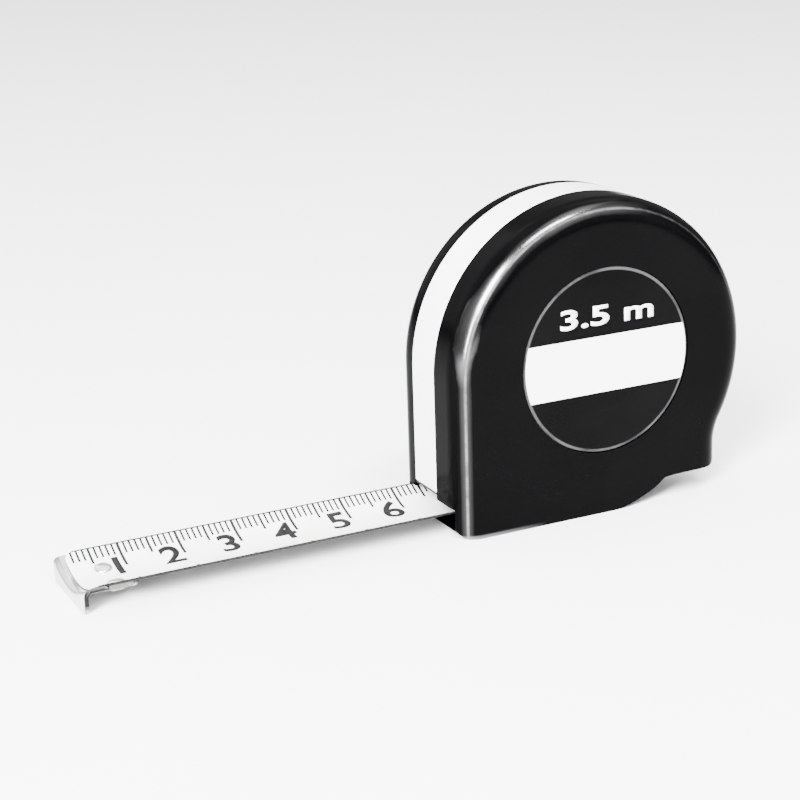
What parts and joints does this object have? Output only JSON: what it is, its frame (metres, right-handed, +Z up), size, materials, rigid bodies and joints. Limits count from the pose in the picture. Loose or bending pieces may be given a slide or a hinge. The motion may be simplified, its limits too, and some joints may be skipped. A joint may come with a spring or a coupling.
{
  "type": "tape measure",
  "caption": "Pocket tape measure: round-topped case with a pale rim band, spring drum, curved steel blade, sliding end hook and a belly release lever.",
  "frame": {"origin": "on the flat base, under the drum's axis and midway between the two side faces", "axes": "+Z up from the base, +X to the rear of the case so the blade runs out along -X, +Y away from the labelled near side; the drum turns about Y"},
  "size_m": [0.1214, 0.0226, 0.055],
  "materials": {
    "black_gloss": "glossy moulded black",
    "pale_plastic": "satin moulded pale grey",
    "label_black": "satin printed black",
    "strip_white": "plain white, blank",
    "screw_steel": "zinc plated",
    "post_steel": "turned steel",
    "drum_plastic": "natural acetal",
    "spring_steel": "blued spring steel",
    "blade_coat": "pale coated steel with dark graduations",
    "hook_steel": "nickel plated",
    "rivet_steel": "nickel plated",
    "guide_grey": "dark grey",
    "lever_black": "satin black",
    "pin_steel": "plain steel",
    "leaf_steel": "spring steel",
    "pad_rubber": "soft rubber"
  },
  "bodies": {
    "case": {"near_shell": "black_gloss", "centre_band": "pale_plastic", "far_shell": "black_gloss", "near_label": "label_black", "name_strip": "strip_white", "far_label": "label_black", "case_screws": "screw_steel", "arbor_post": "post_steel", "main_spring": "spring_steel", "blade_lead": "blade_coat", "mouth_guide": "guide_grey", "lever_pin": "pin_steel"},
    "drum": {"spool": "drum_plastic", "spool_cap": "drum_plastic", "blade_coil": "blade_coat"},
    "blade": {"blade": "blade_coat", "hook_rivets": "rivet_steel"},
    "hook": {"end_hook": "hook_steel"},
    "lever": {"release_lever": "lever_black", "brake_pad": "pad_rubber", "lever_spring": "leaf_steel"}
  },
  "joints": [
    {"name": "blade_slide", "type": "slide", "parent": "case", "child": "blade", "axis": [1, 0, 0], "range_m": [0, 0.0636], "deforming": ["blade"]},
    {"name": "hook_play", "type": "slide", "parent": "blade", "child": "hook", "axis": [-1, 0, 0], "range_m": [0, 0.0008]},
    {"name": "drum_spin", "type": "hinge", "parent": "case", "child": "drum", "pos_m": [0, 0, 0.0265], "axis": [0, -1, 0], "range_deg": [0, 172]},
    {"name": "lever_press", "type": "hinge", "parent": "case", "child": "lever", "pos_m": [-0.006, 0, 0.0027], "axis": [0, -1, 0], "range_deg": [0, 5], "stiffness_Nm_per_rad": 0.3, "springref_deg": -5.73, "deforming": ["lever_spring"]}
  ],
  "couplings": [
    {"joint": "drum_spin", "follows": "blade_slide", "rad_per_m": 46.95}
  ]
}
